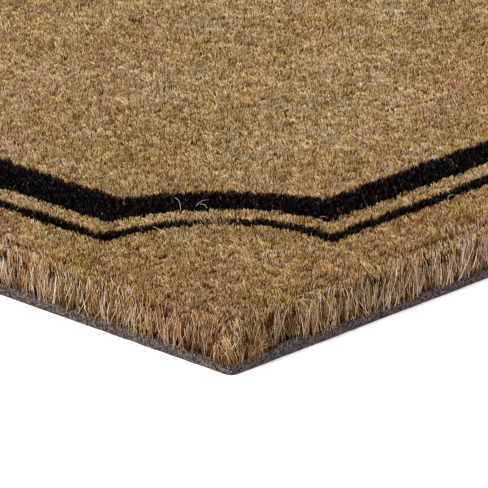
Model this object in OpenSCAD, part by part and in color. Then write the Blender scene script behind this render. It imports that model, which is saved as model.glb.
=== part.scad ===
// Coir door mat: a flat PVC backing with a dense upright pile of coconut fibre.
// The pile is divided where its colour changes, along a dyed border of two lines
// with scooped corners. Units are mm, +Z is up, and the long side lies along X.

/* [Overall] */
// Length of the mat's long side, along X
mat_length = 914; // [600:1:1200]
// Length of the mat's short side, along Y
mat_width = 610; // [400:1:900]
// Radius of the backing's corners in plan
corner_r = 3.5; // [2:0.5:15]

/* [Backing] */
// Thickness of the PVC backing
backing_t = 4.5; // [2:0.5:8]

/* [Pile] */
// Height of the coir pile above the backing
pile_h = 17.5; // [10:0.5:30]
// How far the foot of the pile stands in from the backing's cut edge
pile_inset = 0.8; // [0:0.1:3]

/* [Dyed border] */
// Middle of the thin line, measured in from the short sides
thin_from_short_side = 34.5; // [20:0.5:60]
// Middle of the thin line, measured in from the long sides
thin_from_long_side = 30; // [20:0.5:60]
// Width of the thin line
thin_w = 7; // [3:0.5:10]
// Natural strip left between the thin line and the thick band
line_gap = 9; // [4:0.5:20]
// Width of the thick band along the long sides
thick_w = 23.5; // [10:0.5:40]
// Width of the thick band along the short sides
thick_w_short = 17.5; // [10:0.5:40]
// Radius of the scooped corners at the middle of the thin line
scoop_r = 60; // [30:0.5:90]

/* [Hidden] */
// Clearance between two strips of pile of different colours
seam = 0.3;
$fn = 96;

// Each border edge is a pair of distances inwards from the middle of the thin
// line: first where it runs along the short sides, then along the long sides
thin_outer = [-thin_w / 2, -thin_w / 2];
thin_inner = [thin_w / 2, thin_w / 2];
thick_outer = thin_inner + [line_gap, line_gap];
thick_inner = thick_outer + [thick_w_short, thick_w];
half_seam = [seam / 2, seam / 2];

// The corners of the thin line's rectangle are the centres of all the scoops
scoop_x = mat_length / 2 - thin_from_short_side;
scoop_y = mat_width / 2 - thin_from_long_side;

natural_coir = [0.60, 0.48, 0.33];
dyed_coir = [0.06, 0.055, 0.05];
grey_pvc = [0.28, 0.25, 0.25];

// Rectangle with rounded corners, centred on the origin
module rounded_outline(length, width, r) {
    square([length - 2 * r, width], center = true);
    square([length, width - 2 * r], center = true);
    for (sx = [-1, 1])
        for (sy = [-1, 1])
            translate([sx * (length / 2 - r), sy * (width / 2 - r)])
                circle(r = r);
}

// Everything inside the border line that runs `inward` mm in from the thin line;
// round the scoops it takes the mean of the pair
module scooped_outline(inward) {
    difference() {
        square([2 * (scoop_x - inward[0]), 2 * (scoop_y - inward[1])], center = true);
        for (sx = [-1, 1])
            for (sy = [-1, 1])
                translate([sx * scoop_x, sy * scoop_y])
                    circle(r = scoop_r + (inward[0] + inward[1]) / 2);
    }
}

// One strip of pile between two border lines, standing on the backing
module pile_strip(outer, inner) {
    translate([0, 0, backing_t])
        linear_extrude(height = pile_h)
            difference() {
                scooped_outline(outer + half_seam);
                scooped_outline(inner - half_seam);
            }
}

// Flat PVC sheet that all the fibres are set into, and that lies on the floor
module pvc_backing() {
    color(grey_pvc)
        linear_extrude(height = backing_t)
            rounded_outline(mat_length, mat_width, corner_r);
}

// Natural pile from the mat's edge to the thin line
module margin_pile() {
    color(natural_coir)
        translate([0, 0, backing_t])
            linear_extrude(height = pile_h)
                difference() {
                    rounded_outline(mat_length - 2 * pile_inset,
                                    mat_width - 2 * pile_inset,
                                    corner_r - pile_inset);
                    scooped_outline(thin_outer - half_seam);
                }
}

// Thin dyed line
module thin_border_pile() {
    color(dyed_coir)
        pile_strip(thin_outer, thin_inner);
}

// Natural strip between the two dyed lines
module gap_pile() {
    color(natural_coir)
        pile_strip(thin_inner, thick_outer);
}

// Thick dyed band
module thick_border_pile() {
    color(dyed_coir)
        pile_strip(thick_outer, thick_inner);
}

// Natural pile over the whole middle of the mat
module centre_pile() {
    color(natural_coir)
        translate([0, 0, backing_t])
            linear_extrude(height = pile_h)
                scooped_outline(thick_inner + half_seam);
}

pvc_backing();
margin_pile();
thin_border_pile();
gap_pile();
thick_border_pile();
centre_pile();
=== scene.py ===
# Coir door mat on a PVC backing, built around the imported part.
# The pile is real geometry: every fibre is a small closed strand with its own lean, height and colour.
import math
import bpy
import numpy as np
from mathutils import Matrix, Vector


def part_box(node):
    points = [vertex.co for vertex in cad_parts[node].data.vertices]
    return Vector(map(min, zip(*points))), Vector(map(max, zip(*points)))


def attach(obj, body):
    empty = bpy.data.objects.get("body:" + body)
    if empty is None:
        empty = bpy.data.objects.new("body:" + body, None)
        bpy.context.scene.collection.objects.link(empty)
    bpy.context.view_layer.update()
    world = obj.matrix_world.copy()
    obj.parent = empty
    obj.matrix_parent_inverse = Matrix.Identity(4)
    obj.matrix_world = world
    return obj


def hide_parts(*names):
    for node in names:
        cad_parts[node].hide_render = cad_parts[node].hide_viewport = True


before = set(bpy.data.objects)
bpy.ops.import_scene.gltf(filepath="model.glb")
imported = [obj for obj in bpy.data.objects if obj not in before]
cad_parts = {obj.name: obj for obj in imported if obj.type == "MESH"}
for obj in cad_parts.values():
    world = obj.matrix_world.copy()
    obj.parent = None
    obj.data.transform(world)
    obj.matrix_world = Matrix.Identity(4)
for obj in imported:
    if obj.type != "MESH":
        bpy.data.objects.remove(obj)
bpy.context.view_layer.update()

mm = 0.001                                # sizes below are in mm, and meshes are written in metres
dice = np.random.default_rng(914610)      # the one source of chance, seeded, so each run is the same

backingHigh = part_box("pvc_backing")[1] / mm
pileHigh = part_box("centre_pile")[1] / mm
halfMat = np.array([backingHigh.x, backingHigh.y])
backingTop = backingHigh.z
pileTop = pileHigh.z
cornerRadius = 3.5
seam = 0.3                                # clearance the part leaves between two strips of pile
scoopRadius = 60.0                        # scooped corner, at the middle of the thin line
zoneNodes = ["margin_pile", "thin_border_pile", "gap_pile", "thick_border_pile", "centre_pile"]
dyedZones = (1, 3)


def outerHalf(node):
    # half length and half width of a strip's outer edge, up to the middle of the seam
    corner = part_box(node)[1] / mm
    return np.array([corner.x, corner.y]) + seam / 2


stripEdges = np.array([outerHalf(node) for node in zoneNodes[1:]])
scoopCentre = (stripEdges[0] + stripEdges[1]) / 2      # corner of the thin line's own rectangle
edgesIn = scoopCentre - stripEdges                     # the colour edges, as distances in from the thin line
inwardEdges = edgesIn.mean(axis=1)                     # and as the scooped corners have them


def inwardFromThinLine(x, y):
    # distance in from the thin line: the least of the distances to its two sides and to its scooped corner,
    # with the sides' distances stretched so that the four colour edges have the same values on all of them
    dx, dy = scoopCentre[0] - np.abs(x), scoopCentre[1] - np.abs(y)
    beyond = 900.0                                     # farther than any place on the mat
    even = np.concatenate([[-beyond], inwardEdges, [beyond]])
    fromShort = np.interp(dx, np.concatenate([[-beyond], edgesIn[:, 0], [beyond]]), even)
    fromLong = np.interp(dy, np.concatenate([[-beyond], edgesIn[:, 1], [beyond]]), even)
    return np.minimum(np.minimum(fromShort, fromLong), np.hypot(dx, dy) - scoopRadius)


cutEdge = {
    "reach": 9.0,          # the pile gets lower over this distance from the edge
    "drop": 5.2,           # by this much
    "cornerReach": 14.0,   # and at the corners over a quarter circle of this radius
    "cornerShare": 1.2,    # so it gets lower still there, up to this share of the reach
}


def edgeDrop(x, y):
    # how far the cut edge is rounded over: the drop times the used share of the reach, squared
    inX, inY = halfMat[0] - np.abs(x), halfMat[1] - np.abs(y)
    radius = cutEdge["cornerReach"]
    inset = radius - np.hypot(np.maximum(radius - inX, 0), np.maximum(radius - inY, 0))
    return cutEdge["drop"] * np.clip(1 - inset / cutEdge["reach"], 0, cutEdge["cornerShare"]) ** 2


camera = {
    "azimuth": 43.8,       # degrees round from the front, looking at the +X -Y corner
    "elevation": 20.4,     # degrees above the floor
    "distance": 2160.0,    # from the near corner, along the view
    "lens": 442.6,         # long lens on a 36 mm sensor, so the sides hardly converge
    "aimRight": 4.6,       # the view's middle, measured from the near corner across the view
    "aimUp": 48.1,         # and up it
}


def viewAxes(azimuth, elevation):
    # right, up and back of a view, as unit vectors from its two angles
    a, e = math.radians(azimuth), math.radians(elevation)
    back = np.array([math.sin(a) * math.cos(e), -math.cos(a) * math.cos(e), math.sin(e)])
    right = np.array([math.cos(a), math.sin(a), 0.0])
    return right, np.cross(back, right), back


rightAxis, upAxis, backAxis = viewAxes(camera["azimuth"], camera["elevation"])
nearCorner = np.array([halfMat[0], -halfMat[1], 0.0])


def makeCamera():
    data = bpy.data.cameras.new("camera")
    data.lens = camera["lens"]
    data.sensor_width = 36.0
    data.clip_start, data.clip_end = 0.1, 100.0
    obj = bpy.data.objects.new("camera", data)
    aim = nearCorner + rightAxis * camera["aimRight"] + upAxis * camera["aimUp"]
    obj.location = Vector((aim + backAxis * camera["distance"]) * mm)
    obj.rotation_mode = "QUATERNION"
    obj.rotation_quaternion = Vector(-backAxis).to_track_quat("-Z", "Y")
    bpy.context.scene.collection.objects.link(obj)
    bpy.context.scene.camera = obj


makeCamera()
print("camera placed")


light = {
    "skyStrength": 0.71,
    "sunStrength": 3.15,
    "sunAzimuth": -6.0,
    "sunElevation": 41.0,
    "sunSoftness": 22.0,   # degrees across, like a big softbox
    "floorHex": "fbfaf9",
    "floorReach": 40.0,    # metres from the middle to each side, so its end is never in view
    "floorGlow": 0.35,     # light from under the floor, which washes out the shadow round the mat
}


def fromHex(text):
    # sRGB hex to linear: divide by 12.92 near black, else the 2.4 power curve
    values = np.array([int(text[i:i + 2], 16) for i in (0, 2, 4)]) / 255
    linear = np.where(values <= 0.04045, values / 12.92, ((values + 0.055) / 1.055) ** 2.4)
    return (*linear.tolist(), 1.0)


def addNode(tree, kind, settings=None, links=None):
    # one node; settings are attributes or numbered or named inputs, links say which output feeds which input
    node = tree.nodes.new(kind)
    for key, value in (settings or {}).items():
        if hasattr(node, str(key)):
            setattr(node, key, value)
        else:
            node.inputs[key].default_value = value
    for key, source in (links or {}).items():
        tree.links.new(source, node.inputs[key])
    return node


def newMaterial(name, shader):
    # a Principled surface with constant settings; returns the material, its tree and the shader node
    material = bpy.data.materials.new(name)
    material.use_nodes = True
    tree = material.node_tree
    tree.nodes.clear()
    surface = addNode(tree, "ShaderNodeBsdfPrincipled", shader)
    addNode(tree, "ShaderNodeOutputMaterial", links={"Surface": surface.outputs[0]})
    return material, tree, surface


def makeLightAndFloor():
    scene = bpy.context.scene
    scene.view_settings.view_transform = "Standard"
    world = bpy.data.worlds.new("studioSky")
    world.use_nodes = True
    sky = world.node_tree.nodes["Background"]
    sky.inputs["Color"].default_value = (1.0, 1.0, 1.0, 1.0)
    sky.inputs["Strength"].default_value = light["skyStrength"]
    scene.world = world
    sun = bpy.data.lights.new("softKey", "SUN")
    sun.energy = light["sunStrength"]
    sun.angle = math.radians(light["sunSoftness"])
    key = bpy.data.objects.new("softKey", sun)
    key.rotation_mode = "QUATERNION"
    shining = Vector(-viewAxes(light["sunAzimuth"], light["sunElevation"])[2])
    key.rotation_quaternion = shining.to_track_quat("-Z", "Y")
    scene.collection.objects.link(key)
    corners = np.array([[-1, -1, 0], [1, -1, 0], [1, 1, 0], [-1, 1, 0]]) * light["floorReach"]
    mesh = bpy.data.meshes.new("floor")
    mesh.from_pydata(corners.tolist(), [], [(0, 1, 2, 3)])
    floor = bpy.data.objects.new("floor", mesh)
    paper = {"Base Color": fromHex(light["floorHex"]), "Roughness": 0.9,
             "Emission Color": (1.0, 1.0, 1.0, 1.0), "Emission Strength": light["floorGlow"]}
    mesh.materials.append(newMaterial("matteStudioPaper", paper)[0])
    scene.collection.objects.link(floor)


makeLightAndFloor()
print("light and floor made")


def softNoise(x, y, cell, seed):
    # value noise from -1 to 1: random heights on a square lattice, joined by smooth steps
    lattice = np.random.default_rng(seed).uniform(-1, 1, (512, 512))
    u, v = x / cell + 200.0, y / cell + 200.0
    i, j = np.floor(u).astype(int), np.floor(v).astype(int)
    fu, fv = u - i, v - j
    fu, fv = fu * fu * (3 - 2 * fu), fv * fv * (3 - 2 * fv)
    i, j = i % 511, j % 511
    low = lattice[i, j] * (1 - fu) + lattice[i + 1, j] * fu
    high = lattice[i, j + 1] * (1 - fu) + lattice[i + 1, j + 1] * fu
    return low * (1 - fv) + high * fv


def makePiece(name, points, groups, uv, material, nodes):
    # a mesh object at the origin, from points in mm, arrays of faces (one array for each number of sides),
    # and a map point for every face corner
    mesh = bpy.data.meshes.new(name)
    corners = np.concatenate([faces.ravel() for faces in groups])
    sizes = np.concatenate([np.full(len(faces), faces.shape[1]) for faces in groups])
    mesh.vertices.add(len(points))
    mesh.vertices.foreach_set("co", (points * mm).astype(np.float32).ravel())
    mesh.loops.add(len(corners))
    mesh.loops.foreach_set("vertex_index", corners.astype(np.int32))
    mesh.polygons.add(len(sizes))
    mesh.polygons.foreach_set("loop_start", (np.cumsum(sizes) - sizes).astype(np.int32))
    mesh.polygons.foreach_set("use_smooth", sizes < 5)
    mesh.update(calc_edges=True)
    mesh.uv_layers.new(name="OFBake").data.foreach_set("uv", uv.astype(np.float32).ravel())
    mesh.materials.append(material)
    obj = bpy.data.objects.new(name, mesh)
    bpy.context.scene.collection.objects.link(obj)
    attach(obj, "root")
    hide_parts(*nodes)
    return obj


mapSliver = 0.0008                        # half the width that a strand takes up on its map
mapFoot, mapTip = 0.02, 0.98              # and where its two ends lie

coirColours = {
    # undyed strands come in four hues, each with its own six colours from dark to pale
    "olive": ["180d03", "512e0c", "91662a", "b99454", "dbbf93", "faefd7"],
    "golden": ["190c01", "522d08", "926524", "ba934e", "dcbe8c", "fbeed1"],
    "tan": ["1a0c03", "532b0d", "94622c", "bc9155", "ddbc93", "fcecd8"],
    "rosy": ["1a0a06", "552811", "985e33", "be8e5b", "dfb99a", "feead9"],
    "places": [0.015, 0.21, 0.42, 0.62, 0.79, 0.985],     # where the six colours lie, from 0 to 1
    "naturalRootShade": "684020",   # painted shade that darkens a strand towards its foot, against white at its tip
    # dyed strands are black, the greyer ones high on the ramp are painted highlight standing in for glints,
    # and the few at the end are the ones that the dye has missed
    "dyed": [(0.00, "000000"), (0.45, "030303"), (0.80, "292523"), (0.94, "575050"), (1.00, "b79a72")],
    # painted shade towards the feet of the dyed strands
    "dyedRootShade": "707070",
    "rootShadeFrom": 0.50,          # share of the strand's length that has the full painted shade
    "tintTo": 0.95,            # and where it ends
}
hues = ("olive", "golden", "tan", "rosy")      # each has a quarter of the width of the strand map
naturalStops = [((quarter + place) / len(hues), colour) for quarter, hue in enumerate(hues)
                for place, colour in zip(coirColours["places"], coirColours[hue])]


def coirMaterial(name, stops, rootShade, roughness, gloss):
    # coconut husk fibre, combed and cut: a dull strand with hardly a sheen, no two quite the same colour;
    # the strand's own map holds its tone across and its root-to-tip place up, and the place up paints shade
    # on it, darker towards the foot
    shader = {"Roughness": roughness, "IOR": 1.5, "Specular IOR Level": gloss}
    material, tree, surface = newMaterial(name, shader)
    strandMap = addNode(tree, "ShaderNodeUVMap", {"uv_map": "OFBake"})
    parts = addNode(tree, "ShaderNodeSeparateXYZ", links={0: strandMap.outputs[0]})
    tone = addNode(tree, "ShaderNodeValToRGB", links={0: parts.outputs["X"]})
    ramp = tone.color_ramp
    while len(ramp.elements) < len(stops):
        ramp.elements.new(0.5)
    for element, (place, colour) in zip(ramp.elements, stops):
        element.position = place
        element.color = fromHex(colour)
    rootShadeRamp = addNode(tree, "ShaderNodeValToRGB", links={0: parts.outputs["Y"]})
    rootShadeStops = [(coirColours["rootShadeFrom"], rootShade), (coirColours["tintTo"], "ffffff")]
    for element, (place, colour) in zip(rootShadeRamp.color_ramp.elements, rootShadeStops):
        element.position = place
        element.color = fromHex(colour)
    colour = addNode(tree, "ShaderNodeVectorMath", {"operation": "MULTIPLY"},
                     {0: tone.outputs["Color"], 1: rootShadeRamp.outputs["Color"]})
    tree.links.new(colour.outputs[0], surface.inputs["Base Color"])
    return material


naturalCoir = coirMaterial("undyedCombedCoirFibre", naturalStops, coirColours["naturalRootShade"],
                           roughness=0.66, gloss=0.04)
dyedCoir = coirMaterial("stencilDyedCoirFibre", coirColours["dyed"], coirColours["dyedRootShade"],
                        roughness=0.8, gloss=0.0)      # no sheen from the shader; the glints on dyed strands are painted into their colours
print("fibre materials made")


pile = {
    "nearDensity": 3.6,      # fibres per square mm round the near corner, seen close
    "farDensity": 0.31,      # and over the rest of the mat, where they are drawn wider
    "nearWidth": 0.27,
    "farWidth": 0.98,
    "farContrast": 0.28,     # the wide fibres differ less in tone, as each stands for several
    "farTone": 0.135,
    "tipWidth": 0.85,        # width at the cut tip, as a share of the width at the root
    "tuftPitch": 4.0,        # spacing of the tufts the fibres stand in
    "tuftPull": 0.18,        # how far a fibre is drawn to the middle of its tuft, 0 to 1
    "tuftLean": 0.264,       # tangent of the lean a whole tuft has
    "fibreLean": 0.252,      # and of a fibre's own
    "mostLean": 1.1,
    "depth": 5.0,            # drawn length below the tips; what is lower down never shows
    "tipsBelow": 0.6,        # usual depth of the tips under the part's top
    "swell": (30.0, 0.35),   # slow rise and fall of the tips: its size and height
    "unevenTuft": 0.168,     # from tuft to tuft
    "unevenFibre": 0.15,     # and from fibre to fibre
    "raggedDye": (0.6, 0.3),     # how far tufts and single fibres stray over a colour edge
    "marginTone": -0.045,    # the margin outside the thin line is a little darker
    "undyed": (0.005, 0.6),  # share of fibres that the dye missed, in general and at the worn place
    "rimWidth": 4.2,         # along the edges, full-length strands stand in a rim this wide
    "tone": 0.595,           # middle of the colour ramp used
    "bareTufts": 3.8,        # tufts whose own random value is past this many deviations are missing
    "pieceFibres": 48000,    # most fibres in one object
}
# places where the fibres are missing, and where the thin line's dye is thin: x, y, radius
bareSpots = np.array([[416.5, -272.5, 2.2], [188.0, -83.0, 3.0], [398.0, -262.0, 1.2], [352.0, -214.0, 1.4]])
worn = np.array([380.0, -233.5, 6.5])


closeUp = {
    "halfWidth": 93.0,       # half the width of the part of the mat that is seen close
    "widening": 0.04,        # it gets wider by this share of the distance back
    "depth": 385.0,          # how far back it reaches from the near corner
    "sideFade": 30.0,        # distances over which it blends into the rest
    "backFade": 60.0,
    "backShare": 0.2,        # how much less close its far end is
}


def closeness(x, y):
    # 1 in the part of the mat that the camera is close to, falling to 0 outside it by a smooth step
    dx, dy = x - nearCorner[0], y - nearCorner[1]
    across = np.abs(dx * rightAxis[0] + dy * rightAxis[1])
    flatBack = backAxis[:2] / np.linalg.norm(backAxis[:2])
    depth = -(dx * flatBack[0] + dy * flatBack[1])
    past = (across - closeUp["halfWidth"] - depth * closeUp["widening"]) / closeUp["sideFade"]
    past = np.maximum(past, (depth - closeUp["depth"]) / closeUp["backFade"])
    fade = np.clip(1 - past, 0, 1)
    return fade * fade * (3 - 2 * fade) * (1 - closeUp["backShare"] * np.clip(depth / closeUp["depth"], 0, 1))


def tuftValues(x, y, count, seed):
    # the same random values for every fibre of a tuft; tufts stand on a jittered square lattice
    pitch = pile["tuftPitch"]
    i = np.floor((x + softNoise(x, y, 9.0, seed + 1) * 1.4) / pitch).astype(int)
    j = np.floor((y + softNoise(x, y, 9.0, seed + 2) * 1.4) / pitch).astype(int)
    table = np.random.default_rng(seed).normal(0, 1, (512, 512, count))
    middle = np.stack([(i + 0.5) * pitch, (j + 0.5) * pitch], 1)
    return middle, table[i % 512, j % 512]


shade = {
    # soft patches of tone and of hue, each as its size in mm and its strength
    "tonePatch": (42.0, 0.035),
    "smallTonePatch": (14.0, 0.02),
    "streak": (26.0, 0.02),      # along the mat's length, 3.2 times narrower across
    "tuft": 0.02,
    "huePatch": (38.0, 0.75),
    "smallHuePatch": (12.0, 0.6),
    "edgeHue": (22.0, 1.25),     # rosier towards the edge
    "hueMiddle": (1.0, 0.35),    # usual hue, counted from olive, and how much single strands differ
    # the husk gives pale, golden, brown and dark strands: running share and tone of each kind
    "kindShare": [0.42, 0.70, 0.88],
    "kindTone": [0.19, 0.02, -0.19, -0.40],
    "kindSpread": 0.06,
}


def patch(x, y, kind, seed):
    # soft noise of one kind's size, times its strength
    return softNoise(x, y, shade[kind][0], seed) * shade[kind][1]


def strandTone(x, y, tuft, own):
    # 0 to 1 along the colour ramp: slow patches, narrow streaks, the tuft's own shade, then the fibre's
    patches = patch(x, y, "tonePatch", 11) + patch(x, y, "smallTonePatch", 12)
    return patches + patch(x, y * 3.2, "streak", 13) + tuft * shade["tuft"] + own


def naturalColumn(x, y, tone):
    # where a natural strand lies across the strand map: the quarter of its hue, which changes in soft patches
    # and is rosy at the mat's edge, then its tone inside that quarter
    edge = np.minimum(halfMat[0] - np.abs(x), halfMat[1] - np.abs(y))
    reach, strength = shade["edgeHue"]
    hue = patch(x, y, "huePatch", 14) + patch(x, y, "smallHuePatch", 15) + strength * np.exp(-edge / reach)
    quarter = np.clip(np.round(hue + dice.normal(*shade["hueMiddle"], len(x))), 0, len(hues) - 1)
    return (quarter + np.clip(tone, 0.02, 0.98)) / len(hues)


def strandMix(count):
    # each strand's own step in tone, from its kind, picked at random
    kind = np.searchsorted(shade["kindShare"], dice.uniform(0, 1, count))
    return np.array(shade["kindTone"])[kind] + dice.normal(0, shade["kindSpread"], count)


def makeTips():
    # places of the fibre tips: evenly random over the mat, thinned out to the density that each place has,
    # left out where a tuft is missing, and drawn towards the middle of their tufts
    reach = halfMat - pile["rimWidth"] * 0.45
    area = 4 * reach[0] * reach[1]
    count = int(area * pile["nearDensity"])
    x = dice.uniform(-reach[0], reach[0], count)
    y = dice.uniform(-reach[1], reach[1], count)
    close = closeness(x, y)
    density = pile["farDensity"] + (pile["nearDensity"] - pile["farDensity"]) * close
    keep = dice.uniform(0, 1, count) < density / pile["nearDensity"]
    x, y = x[keep], y[keep]
    middle, tuft = tuftValues(x, y, 5, 31)
    full = tuft[:, 4] < pile["bareTufts"]
    for spotX, spotY, radius in bareSpots:
        full &= np.hypot(x - spotX, y - spotY) > radius
    x, y, middle, tuft = x[full], y[full], middle[full], tuft[full]
    pull = pile["tuftPull"] * dice.uniform(0.2, 1.6, len(x))
    x, y = x + (middle[:, 0] - x) * pull, y + (middle[:, 1] - y) * pull
    # 0 to 1 as the fibres get sparser, by the logarithm of their density, so that wider ones cover as much
    thinning = np.log(density[keep][full] / pile["nearDensity"])
    return x, y, thinning / math.log(pile["farDensity"] / pile["nearDensity"]), tuft


def makeFibreMesh(root, tip, width, tone):
    # one fibre is a thin closed wedge: an edge across its root and an edge at right angles across its tip,
    # joined by four triangles, so it looks round enough from every side
    count = len(root)
    along = tip - root
    along /= np.linalg.norm(along, axis=1, keepdims=True)
    spin = dice.uniform(0, 2 * np.pi, count)
    side = np.stack([np.cos(spin), np.sin(spin), np.zeros(count)], 1)
    side -= along * np.sum(side * along, 1, keepdims=True)
    side /= np.linalg.norm(side, axis=1, keepdims=True)
    other = np.cross(along, side)
    half = width[:, None] / 2
    tipHalf = half * pile["tipWidth"]
    points = np.stack([root - side * half, root + side * half,
                       tip - other * tipHalf, tip + other * tipHalf], 1)
    faces = np.array([[0, 2, 1], [0, 1, 3], [2, 3, 1], [3, 2, 0]])
    faces = (np.arange(count)[:, None, None] * 4 + faces).reshape(-1, 3)
    # map: a sliver at the fibre's own tone, from its foot, in full painted shade, up to its tip
    left, right = tone - mapSliver, tone + mapSliver
    low, high = np.full(count, mapFoot), np.full(count, mapTip)
    uv = np.stack([left, low, right, low, left, high, right, high], 1).reshape(-1, 2)
    return points.reshape(-1, 3), faces, uv


def makePile():
    # each fibre runs down from its tip along its lean, and belongs to the colour zone that its tip is in
    x, y, sparse, tuft = makeTips()
    count = len(x)
    width = pile["nearWidth"] * (pile["farWidth"] / pile["nearWidth"]) ** sparse
    width = width * dice.uniform(0.7, 1.3, count)
    lean = tuft[:, :2] * pile["tuftLean"] + dice.normal(0, pile["fibreLean"], (count, 2))
    lean *= np.minimum(1.0, pile["mostLean"] / np.maximum(np.linalg.norm(lean, axis=1, keepdims=True), 1e-6))
    swellSize, swellHeight = pile["swell"]
    height = pileTop - pile["tipsBelow"] - edgeDrop(x, y) + softNoise(x, y, swellSize, 21) * swellHeight
    height = height + tuft[:, 2] * pile["unevenTuft"] + dice.normal(0, pile["unevenFibre"], count)
    depth = pile["depth"] * dice.uniform(0.85, 1.1, count)
    tip = np.stack([x, y, height], 1)
    root = tip - np.stack([lean[:, 0] * depth, lean[:, 1] * depth, depth], 1)
    ragged = softNoise(x, y, 4.5, 22) * pile["raggedDye"][0] + dice.normal(0, pile["raggedDye"][1], count)
    zone = np.searchsorted(inwardEdges, inwardFromThinLine(x, y) + ragged)
    own = strandMix(count) * (1 + (pile["farContrast"] - 1) * sparse) + pile["farTone"] * sparse
    tone = pile["tone"] + strandTone(x, y, tuft[:, 3], own)
    for number, node in enumerate(zoneNodes):
        dyed = number in dyedZones
        chosen = np.flatnonzero(zone == number)
        if dyed:
            zoneTone = 0.2 + 0.7 * dice.uniform(0, 1, len(chosen)) ** 1.6
            wear = np.exp(-((x[chosen] - worn[0]) ** 2 + (y[chosen] - worn[1]) ** 2) / worn[2] ** 2)
            missed = dice.uniform(0, 1, len(chosen)) < pile["undyed"][0] + pile["undyed"][1] * wear
            zoneTone = np.where(missed, dice.uniform(0.96, 1, len(chosen)), zoneTone)
        else:
            zoneTone = naturalColumn(x[chosen], y[chosen], tone[chosen] + pile["marginTone"] * (number == 0))
        order = np.argsort(x[chosen], kind="stable")
        parts = np.array_split(order, max(1, math.ceil(len(chosen) / pile["pieceFibres"])))
        for place, part in enumerate(parts):
            pick = chosen[part]
            points, faces, uv = makeFibreMesh(root[pick], tip[pick], width[pick], zoneTone[part])
            words = node.split("_")
            name = words[0] + "".join(word.title() for word in words[1:])
            if len(parts) > 1:
                name += str(place + 1)
            makePiece(name, points, [faces], uv[faces.ravel()], dyedCoir if dyed else naturalCoir,
                      [node])
            print(name, len(pick), "fibres")


makePile()
print("pile made")


rim = {
    "nearPerMm": 27.0,       # strands per mm of edge round the near corner
    "farPerMm": 3.2,
    "nearWidth": 0.22,
    "farWidth": 0.80,
    "outwardLean": -0.03,    # tangent of the outermost strands' lean
    "sideLean": 0.26,
    "bend": 0.5,             # how far a strand bows outwards half way up
    "curl": 0.5,             # and to either side
    "tuftOutLean": 0.03,     # tangents of the leans that a whole tuft and a single strand have outwards
    "strandOutLean": 0.06,
    "mostSideLean": 0.6,
    "tuftPitch": 4.8,
    "gather": 0.16,          # how far strands are drawn to the middle of their tuft at the foot
    "broken": 0.55,          # share of broken, shorter strands
    "cutOff": 0.6,           # share of strands whose lower part the knife took away
    "tuftSideLean": 0.14,    # tangent of a whole tuft's lean along the edge
    "wave": 0.12,            # unevenness along a strand
    "tipsBelow": 0.7,        # usual depth of the tips under the part's top
    "unevenTuft": 0.4,
    "unevenStrand": 0.5,
    "rings": 3,
    "tone": 0.585,
    "farTone": 0.12,         # the wide strands away from the near corner are paler
    "cornerShade": (20.0, -0.09),  # reach and strength of the painted shade that darkens the corners
    "footShade": (0.15, 0.86),    # where on the painted root-to-tip shade the feet of inner and outer strands start; inner ones start darker, for the shade between strands
    "bare": (0.5, 0.5, 0.05),     # how far the fringe stands back: slow and quick wander, and everywhere
    "bareSpot": (29.0, 9.0, 1.6),   # the bare place on the right: distance from the corner, size, depth
}


def outline(place, inset):
    # point and outward normal at a distance along the mat's outline, a rectangle with rounded corners,
    # moved in by inset, and the outline's length; the corner arcs are taken by angle, the sides by length
    radius = cornerRadius
    sides = 2 * (halfMat - radius)
    arc = radius * np.pi / 2
    lengths = np.array([sides[0], arc, sides[1], arc, sides[0], arc, sides[1], arc])
    starts = np.concatenate([[0], np.cumsum(lengths)])
    place = np.mod(place, starts[-1])
    part = np.clip(np.searchsorted(starts, place, side="right") - 1, 0, 7)
    t = (place - starts[part]) / lengths[part]
    # the normal turns by a quarter at each corner, in the order front, right, back, left
    angle = -np.pi / 2 + (part // 2) * np.pi / 2 + np.where(part % 2 == 1, t * np.pi / 2, 0.0)
    normal = np.stack([np.cos(angle), np.sin(angle)], 1)
    inner = halfMat - radius
    cornerOrder = np.array([[-1, -1], [1, -1], [1, 1], [-1, 1]]) * inner
    fromCorner, toCorner = cornerOrder[(part // 2) % 4], cornerOrder[(part // 2 + 1) % 4]
    base = np.where((part % 2 == 1)[:, None], toCorner, fromCorner + (toCorner - fromCorner) * t[:, None])
    return base + normal * (radius - inset[:, None]), normal, starts[-1]


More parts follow.
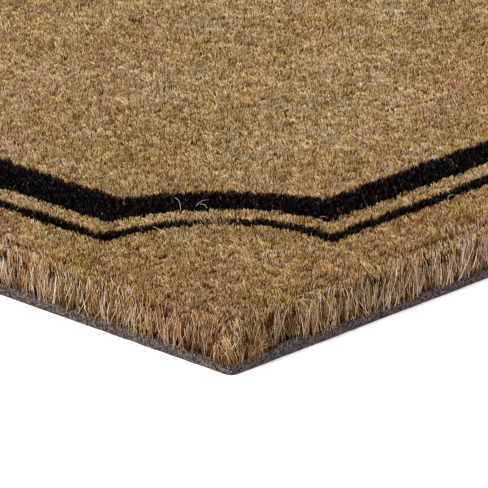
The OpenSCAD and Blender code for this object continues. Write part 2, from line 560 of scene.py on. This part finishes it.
def makeStrands(path, widths, tone, footShade, sides=3):
    # a round strand: rings of points carried along each path, tapering to a tip
    count, rings = path.shape[:2]
    along = np.gradient(path, axis=1)
    along /= np.linalg.norm(along, axis=2, keepdims=True)
    reference = np.where(np.abs(along[:, :1, 2:3]) > 0.9, [[[1.0, 0.0, 0.0]]], [[[0.0, 0.0, 1.0]]])
    side = np.cross(along, np.broadcast_to(reference, along.shape))
    side /= np.linalg.norm(side, axis=2, keepdims=True)
    other = np.cross(along, side)
    turn = 2 * np.pi * (np.arange(sides)[None, :] / sides + dice.uniform(0, 1, (count, 1)))
    taper = np.linspace(1.0, 0.55, rings)[None, :, None, None]
    ring = side[:, :, None] * np.cos(turn)[:, None, :, None]
    ring = ring + other[:, :, None] * np.sin(turn)[:, None, :, None]
    points = path[:, :, None] + ring * widths[:, None, None, None] / 2 * taper
    points = points.reshape(count, rings * sides, 3)
    a = np.arange(sides)
    b = (a + 1) % sides
    step = (np.arange(rings - 1) * sides)[:, None]
    walls = np.concatenate([np.stack([step + a, step + b, step + b + sides], 2),
                            np.stack([step + a, step + b + sides, step + a + sides], 2)]).reshape(-1, 3)
    last = (rings - 1) * sides
    fan = np.stack([np.zeros(sides - 2, int), np.arange(1, sides - 1), np.arange(2, sides)], 1)
    faces = np.concatenate([walls, fan[:, ::-1], fan + last])
    faces = (np.arange(count)[:, None, None] * rings * sides + faces).reshape(-1, 3)
    # map: a sliver at the strand's own tone, from its foot's painted shade up to its tip
    up = footShade[:, None] + (mapTip - footShade[:, None]) * np.repeat(np.linspace(0, 1, rings), sides)
    over = tone[:, None] + np.tile(np.linspace(-mapSliver, mapSliver, sides), rings)
    return points.reshape(-1, 3), faces, np.stack([over, up], 2).reshape(-1, 2)


def makeRim():
    # full-length strands along the outline: each rises from its foot in the backing, leans with its tuft,
    # bows out by a parabola that is zero at both ends, and wavers a little
    length = outline(np.zeros(1), np.zeros(1))[2]
    count = int(length * rim["nearPerMm"])
    place = dice.uniform(0, length, count)
    inset = dice.uniform(0, 1, count) * (pile["rimWidth"] + 0.2) - 0.2
    foot, normal, _ = outline(place, inset)
    # where the fringe stands back from the edge and bares the backing
    slow, quick, always = rim["bare"]
    spot, size, depth = rim["bareSpot"]
    bare = softNoise(place, inset * 0, 9.0, 53) * slow + softNoise(place, inset * 0, 2.6, 54) * quick + always
    onRight = normal[:, 0] > 0.9
    bare = np.maximum(bare + depth * np.exp(-((foot[:, 1] + halfMat[1] - spot) / size) ** 2) * onRight, 0)
    inset = bare + inset * np.clip(1 - bare / (pile["rimWidth"] + 1), 0.2, 1)
    foot, normal, _ = outline(place, inset)
    close = closeness(foot[:, 0], foot[:, 1])
    perMm = rim["farPerMm"] + (rim["nearPerMm"] - rim["farPerMm"]) * close
    keep = dice.uniform(0, 1, count) < perMm / rim["nearPerMm"]
    place, inset, foot, normal, close = place[keep], inset[keep], foot[keep], normal[keep], close[keep]
    count = len(place)
    tangent = np.stack([-normal[:, 1], normal[:, 0]], 1)
    # tufts stand in rows, one behind the other, and their strands lean together
    pitch = rim["tuftPitch"]
    row = np.floor(inset / 2.4).astype(int)
    shift = row * 0.37 + softNoise(place, inset, 11.0, 51) * 0.35
    number = np.floor(place / pitch + shift).astype(int)
    tuft = np.random.default_rng(52).normal(0, 1, (4, 1024, 6))[row % 4, number % 1024]
    gather = ((number + 0.5 - shift) * pitch - place) * rim["gather"] * (0.4 + 0.6 * close)
    outer = np.clip(1 - inset / pile["rimWidth"], 0, 1)
    rise = pileTop - backingTop - rim["tipsBelow"] - edgeDrop(foot[:, 0], foot[:, 1])
    rise = rise + tuft[:, 0] * rim["unevenTuft"] + dice.normal(0, rim["unevenStrand"], count)
    broken = dice.uniform(0, 1, count) < rim["broken"] * (0.3 + outer)
    rise = np.where(broken, rise * dice.uniform(0.35, 0.95, count), rise)
    out = rim["outwardLean"] * outer + rim["tuftOutLean"] * tuft[:, 1]
    out = out + dice.normal(0, rim["strandOutLean"], count)
    sideways = rim["sideLean"] * dice.normal(0, 1, count) * dice.uniform(0.3, 1.4, count)
    sideways = sideways + rim["tuftSideLean"] * tuft[:, 2]
    sideways = np.clip(sideways, -rim["mostSideLean"], rim["mostSideLean"])
    bow = rim["bend"] * outer * dice.uniform(0.2, 1.5, count)
    # a strand that the knife cut starts part way up, from 0 at the foot to 1 at the tip
    low = np.where(dice.uniform(0, 1, count) < rim["cutOff"] * outer, dice.uniform(0.05, 0.7, count), 0.0)
    rings = rim["rings"]
    t = low[:, None, None] + (1 - low[:, None, None]) * np.linspace(0, 1, rings)[None, :, None]
    lateral = normal * out[:, None] + tangent * sideways[:, None]
    curl = tangent * dice.normal(0, rim["curl"], (count, 1))
    sunk = backingTop - 0.1 - dice.uniform(0, 1.1, count) * (inset < 0.4)
    start = np.concatenate([foot + tangent * gather[:, None], sunk[:, None]], 1)
    bulge = 4 * t * (1 - t)
    wave = dice.normal(0, rim["wave"], (count, rings, 2)) * (t > 0)
    sunkIn = -normal[:, None] * (low * 1.3)[:, None, None] * (1 - t)      # it comes out from inside the pile
    flat = lateral[:, None] * rise[:, None, None] * t
    flat = flat + (normal * bow[:, None] + curl)[:, None] * bulge + wave + sunkIn
    up = rise[:, None, None] * t
    path = start[:, None] + np.concatenate([flat, up], 2)
    widths = rim["farWidth"] + (rim["nearWidth"] - rim["farWidth"]) * close
    widths = widths * dice.uniform(0.65, 1.35, count)
    own = strandMix(count) * (0.45 + 0.9 * close) + rim["farTone"] * (1 - close)
    # painted shade: the strands round the corners are darker
    reach, strength = rim["cornerShade"]
    own = own + strength * np.exp(-(np.hypot(*(halfMat - np.abs(foot)).T) / reach) ** 2)
    tone = rim["tone"] + strandTone(foot[:, 0], foot[:, 1], tuft[:, 3], own)
    tone = naturalColumn(foot[:, 0], foot[:, 1], tone)
    inner, outermost = rim["footShade"]
    footShade = inner + (outermost - inner) * outer ** 1.5
    footShade = footShade + (mapTip - footShade) * low
    order = np.argsort(-close, kind="stable")
    near = order[:int((close > 0.5).sum())]
    far = order[len(near):]
    far = far[np.argsort(foot[far, 0], kind="stable")]
    groups = {"rimNear": near, "rimLeft": far[:len(far) // 2], "rimRight": far[len(far) // 2:]}
    for name, pick in groups.items():
        points, faces, uv = makeStrands(path[pick], widths[pick], tone[pick], footShade[pick])
        makePiece(name, points, [faces], uv[faces.ravel()], naturalCoir, ["margin_pile"])
        print(name, len(pick), "strands,", len(faces), "triangles")


makeRim()
print("rim made")


packed = {
    "step": 4.2,             # spacing of the grid's points
    "below": 2.6,            # depth of the surface under the part's top
    "tuftBumps": (4.6, 0.7),     # size and height of the bumps that the tufts make
    "slowBumps": (9.0, 0.4),
    "wallFootShade": 0.85,        # how dark the wall is painted down at its foot, as shade between the rim's strands
    "husk": ("22160b", "75572f"),
    # near black: the dyed zones' colour, and the painted shade at the wall's foot
    "dyed": "070605",
    "grain": 0.9,            # mm, three fibres' breadth, as one fibre's would not show
}


def makePacked():
    # a height field over the mat inside the rim, with a wall down to the backing and a flat underside
    half = halfMat - pile["rimWidth"]
    counts = np.ceil(2 * half / packed["step"]).astype(int)
    u, v = np.linspace(-1, 1, counts[0] + 1), np.linspace(-1, 1, counts[1] + 1)
    gx, gy = np.meshgrid(u * half[0], v * half[1], indexing="ij")
    gz = pileTop - packed["below"] - edgeDrop(gx, gy)
    for seed, (size, height) in ((61, packed["tuftBumps"]), (62, packed["slowBumps"])):
        gz = gz + softNoise(gx, gy, size, seed) * height
    top = np.stack([gx, gy, gz], 2).reshape(-1, 3)
    nx, ny = len(u), len(v)
    index = np.arange(nx * ny).reshape(nx, ny)
    quads = np.stack([index[:-1, :-1], index[1:, :-1], index[1:, 1:], index[:-1, 1:]], 2).reshape(-1, 4)
    loop = np.concatenate([index[:-1, 0], index[-1, :-1], index[:0:-1, -1], index[0, :0:-1]])
    foot = top[loop].copy()
    foot[:, 2] = backingTop + 0.02
    below = len(top) + np.arange(len(loop))
    following = np.roll(np.arange(len(loop)), -1)
    wall = np.stack([loop[following], loop, below, below[following]], 1)
    points = np.concatenate([top, foot])
    # map: the top seen from above, the wall as a thin frame round it, the underside small in a corner
    flat = points[:, :2] / half / 2
    flat[len(top):] *= 1.03
    groups = [np.concatenate([quads, wall]), below[::-1][None]]
    uv = np.concatenate([0.46 + 0.88 * flat[groups[0].ravel()], 0.97 + 0.05 * flat[groups[1].ravel()]])
    obj = makePiece("packedPile", points, groups, uv, packedPileMaterial(), ["centre_pile"])
    dyed = np.isin(np.searchsorted(inwardEdges, inwardFromThinLine(points[:, 0], points[:, 1])), dyedZones)
    # dark in the dyed zones for their dye, and down the wall as painted shade that is fullest at its foot
    dark = np.where(np.arange(len(points)) < len(top), dyed, packed["wallFootShade"])
    darkness = obj.data.attributes.new("dark", "FLOAT", "POINT")
    darkness.data.foreach_set("value", dark.astype(np.float32))


def packedPileMaterial():
    # coir seen down between the fibres, where little light gets in: dull dark brown, mottled, no shine
    material, tree, surface = newMaterial("shadedPackedCoir", {"Roughness": 0.9, "Specular IOR Level": 0.1})
    place = addNode(tree, "ShaderNodeTexCoord")
    scale = 1 / (packed["grain"] * mm)
    grain = addNode(tree, "ShaderNodeTexNoise", {"Scale": scale, "Detail": 3.0, "Roughness": 0.6},
                    {"Vector": place.outputs["Object"]})
    husk = [fromHex(colour) for colour in packed["husk"]]
    natural = addNode(tree, "ShaderNodeMix", {"data_type": "RGBA", 6: husk[0], 7: husk[1]},
                      {0: grain.outputs[0]})
    # the dark attribute mixes in near black: dye in the dyed zones, painted shade down the wall
    dark = addNode(tree, "ShaderNodeAttribute", {"attribute_name": "dark"})
    colour = addNode(tree, "ShaderNodeMix", {"data_type": "RGBA", 7: fromHex(packed["dyed"])},
                     {0: dark.outputs["Fac"], 6: natural.outputs[2]})
    tree.links.new(colour.outputs[2], surface.inputs["Base Color"])
    return material


makePacked()
print("packed pile made")


backing = {
    "step": 1.5,             # spacing of the points along the outline
    "unevenCut": 0.22,       # how far the cut edge wanders
    "unevenTop": 0.25,       # and how far the rim of its top goes up and down
    # insets and heights of the edge's profile, from under the mat round to its top, for a 4.5 mm backing
    "profile": [(3.0, 0.0), (0.55, 0.0), (0.16, 0.22), (0.02, 0.9), (0.0, 2.2), (0.05, 3.4), (0.3, 4.1),
                (0.9, 4.5), (3.0, 4.5)],
    # where the foam has crept up the pile, right of the near corner: distance from it, size, height
    "creep": (30.0, 9.0, 1.5),
    "mapRows": 16,           # rows that the long wall is folded into on its map
    "pits": 1.0,             # mm, the foam's pores, drawn coarse enough to show
    "crumbs": 1.9,           # mm, bits of fibre and foam in the cut
}


def makeBacking():
    # a profile of insets and heights carried round the outline, closed by a flat top and underside
    length = outline(np.zeros(1), np.zeros(1))[2]
    count = int(length / backing["step"])
    place = np.arange(count) * length / count
    profile = np.array(backing["profile"])
    profile[:, 1] *= backingTop / profile[-1, 1]
    spot, size, rise = backing["creep"]
    rows = []
    for number, (inset, height) in enumerate(profile):
        wander = softNoise(place, np.full(count, number * 1.7), 5.0, 71)
        wander = wander + 0.5 * softNoise(place, np.full(count, number * 2.9), 1.9, 72)
        edge = 1.0 if 0 < number < len(profile) - 1 else 0.0
        point = outline(place, inset + edge * backing["unevenCut"] * (0.8 - wander))[0]
        upper = edge * (number > 4)
        lift = upper * backing["unevenTop"] * softNoise(place, np.full(count, number * 2.3), 3.1, 73)
        creep = np.exp(-((point[:, 1] + halfMat[1] - spot) / size) ** 2) * (point[:, 0] > halfMat[0] - 2)
        lift = lift + upper * creep * (rise + 0.5 * softNoise(place, place * 0, 1.6, 74))
        rows.append(np.column_stack([point, height + lift]))
    points = np.concatenate(rows)
    a = np.arange(count)
    b = (a + 1) % count
    bands = len(profile) - 1
    quads = np.stack([a, b, b + count, a + count], 1) + (np.arange(bands) * count)[:, None, None]
    quads = quads.reshape(-1, 4)
    underside, top = a[::-1][None], a[None] + bands * count
    # map: the wall folded into rows over the lower half, top and underside seen flat in the upper half
    fold = backing["mapRows"]
    row, along = np.divmod(a * fold / count, 1.0)
    along = along[:, None] + np.array([0, 1, 1, 0]) * fold / count
    up = (np.arange(bands)[:, None, None] + np.array([0, 0, 1, 1])) / bands
    up = (row[:, None] + 0.05 + 0.9 * up) / fold / 2
    wallUv = np.stack([np.broadcast_to(along, up.shape), up], 3).reshape(-1, 2)
    flat = points[:, :2] / halfMat * 0.23
    uv = np.concatenate([wallUv, flat[underside[0]] + [0.25, 0.76], flat[top[0]] + [0.75, 0.76]])
    makePiece("pvcBacking", points, [quads, underside, top], uv, backingMaterial(), ["pvc_backing"])


def backingMaterial():
    # foamed PVC, knife cut: dull warm grey, pitted, with bits of fibre and lighter crumbs in the cut
    shader = {"Roughness": 0.75, "IOR": 1.53, "Specular IOR Level": 0.3}
    material, tree, surface = newMaterial("cutFoamedPvc", shader)
    place = addNode(tree, "ShaderNodeTexCoord")
    foam = {"Scale": 1 / (backing["pits"] * mm), "Detail": 3.0, "Roughness": 0.75}
    pits = addNode(tree, "ShaderNodeTexNoise", foam, {"Vector": place.outputs["Object"]})
    body = addNode(tree, "ShaderNodeValToRGB", links={0: pits.outputs[0]})
    for element, (where, colour) in zip(body.color_ramp.elements, [(0.44, "030202"), (0.61, "65554e")]):
        element.position = where
        element.color = fromHex(colour)
    crumbs = addNode(tree, "ShaderNodeTexVoronoi", {"Scale": 1 / (backing["crumbs"] * mm)},
                     {"Vector": place.outputs["Object"]})
    fade = {"From Min": 0.08, "From Max": 0.18, "To Min": 0.8, "To Max": 0.0}
    fleck = addNode(tree, "ShaderNodeMapRange", fade, {"Value": crumbs.outputs["Distance"]})
    colour = addNode(tree, "ShaderNodeMix", {"data_type": "RGBA", 7: fromHex("a08d79")},
                     {0: fleck.outputs[0], 6: body.outputs[0]})
    tree.links.new(colour.outputs[2], surface.inputs["Base Color"])
    bump = addNode(tree, "ShaderNodeBump", {"Strength": 0.5, "Distance": 0.4 * mm},
                   {"Height": pits.outputs[0]})
    tree.links.new(bump.outputs[0], surface.inputs["Normal"])
    return material


makeBacking()
print("backing made")


strays = {
    "width": 0.18,
    # loose fibres that lie singly: start x, y, end x, y, depth under the part's top, arch, bow
    "laid": [
        (351.3, -226.3, 363.1, -234.9, 0.2, 1.0, 0.6), (364.0, -227.6, 362.6, -218.9, 0.2, 0.8, 0.3),
        (363.5, -224.9, 368.3, -226.1, 0.2, 0.4, 0.6), (368.1, -254.7, 376.4, -256.0, 0.2, 0.4, -0.4),
        (428.4, -157.0, 426.9, -150.8, 0.2, 0.8, 1.2), (406.0, -203.9, 408.6, -202.6, 0.2, 0.4, 0.3),
        (395.3, -281.3, 398.7, -278.0, 0.3, 0.6, 0.8), (455.3, -270.7, 453.7, -262.9, 2.6, 0.6, 0.8),
        (454.1, -263.2, 458.4, -261.0, 1.8, 0.4, 0.4), (458.4, -261.0, 460.6, -261.3, 2.2, -0.3, -0.6),
        (457.6, -242.4, 457.6, -240.1, 17.0, 0.5, 0.3),
    ],
    "scattered": 180,        # and over the whole mat, apart from the near corner
    "length": (4.0, 13.0),
    "farWider": 2.2,         # these are drawn wider, like the pile they lie on
    "fan": 16,               # strands in each of the two splayed tufts right of the near corner
    "hangsFrom": (0.2, 34.3, 20.4),   # one tuft's root: out from the side, along from the corner, and up
    "tone": (0.85, 0.08),    # middle and spread
    "fanTone": -0.12,
}


def curvedStrands(start, end, arch, bow, rings=7):
    # paths from start to end, arched upwards and bowed sideways as half sine waves
    t = np.linspace(0, 1, rings)[None, :, None]
    across = np.stack([start[:, 1] - end[:, 1], end[:, 0] - start[:, 0], np.zeros(len(start))], 1)
    across /= np.maximum(np.linalg.norm(across, axis=1, keepdims=True), 1e-6)
    lift = across * bow[:, None] + np.array([0.0, 0.0, 1.0]) * arch[:, None]
    return start[:, None] * (1 - t) + end[:, None] * t + lift[:, None] * np.sin(np.pi * t)


def makeStrays():
    # the laid fibres, the scattered ones and the two splayed tufts, all in one piece
    laid = np.array(strays["laid"])
    start = np.column_stack([laid[:, :2], pileTop - laid[:, 4]])
    end = np.column_stack([laid[:, 2:4], pileTop - laid[:, 4]])
    arch, bow = laid[:, 5], laid[:, 6]
    where = dice.uniform(-1, 1, (strays["scattered"], 2)) * (halfMat - 8)
    where = where[closeness(where[:, 0], where[:, 1]) < 0.3]
    count = len(where)
    heading = dice.uniform(0, 2 * np.pi, count)
    reach = dice.uniform(*strays["length"], count)
    far = where + np.stack([np.cos(heading), np.sin(heading)], 1) * reach[:, None]
    far = np.clip(far, -halfMat + 2, halfMat - 2)
    start = np.concatenate([start, np.column_stack([where, pileTop - 0.9 - edgeDrop(*where.T)])])
    end = np.concatenate([end, np.column_stack([far, pileTop - 0.7 - edgeDrop(*far.T)])])
    arch = np.concatenate([arch, dice.uniform(0.4, 1.4, count)])
    bow = np.concatenate([bow, dice.normal(0, 0.16, count) * reach])
    # one tuft hangs over the edge from the top and splays out as it falls
    fan = strays["fan"]
    spread = np.linspace(0, 1, fan) + dice.normal(0, 0.04, fan)
    outBy, alongBy, height = strays["hangsFrom"]
    root = np.column_stack([np.full(fan, halfMat[0] + outBy), -halfMat[1] + alongBy + spread * 1.5,
                            np.full(fan, height)])
    fall = -5.6 - dice.uniform(0, 2.2, fan) + spread * 2
    tip = root + np.column_stack([1.4 + spread * 0.6, spread * 9.5 - 0.5, fall])
    # and a pale one, nearer the corner, leans from its foot over the bare place
    paleRoot = np.column_stack([halfMat[0] - dice.uniform(0, 1.2, fan),
                                -halfMat[1] + dice.uniform(9.5, 13, fan),
                                dice.uniform(5.4, 7, fan)])
    paleTip = paleRoot + np.column_stack([dice.uniform(0.2, 1.0, fan),
                                          dice.uniform(5, 11, fan),
                                          dice.uniform(0.6, 4.2, fan)])
    start = np.concatenate([start, paleRoot, root])
    end = np.concatenate([end, paleTip, tip])
    arch = np.concatenate([arch, dice.uniform(0.2, 0.7, fan), dice.uniform(0.6, 1.6, fan)])
    bow = np.concatenate([bow, dice.normal(0, 0.3, 2 * fan)])
    path = curvedStrands(start, end, arch, bow)
    count = len(path)
    widths = strays["width"] * dice.uniform(0.75, 1.15, count)
    widths[len(laid):len(laid) + len(where)] *= strays["farWider"]
    tone = np.clip(dice.normal(*strays["tone"], count), 0.5, 0.99)
    tone[:len(laid)] = 0.99
    tone[-2 * fan:] += strays["fanTone"]
    tone = (hues.index("golden") + tone) / len(hues)
    points, faces, uv = makeStrands(path, widths, tone, np.full(count, 0.9))
    makePiece("strayFibres", points, [faces], uv[faces.ravel()], naturalCoir, ["centre_pile"])


makeStrays()
print("stray fibres made")
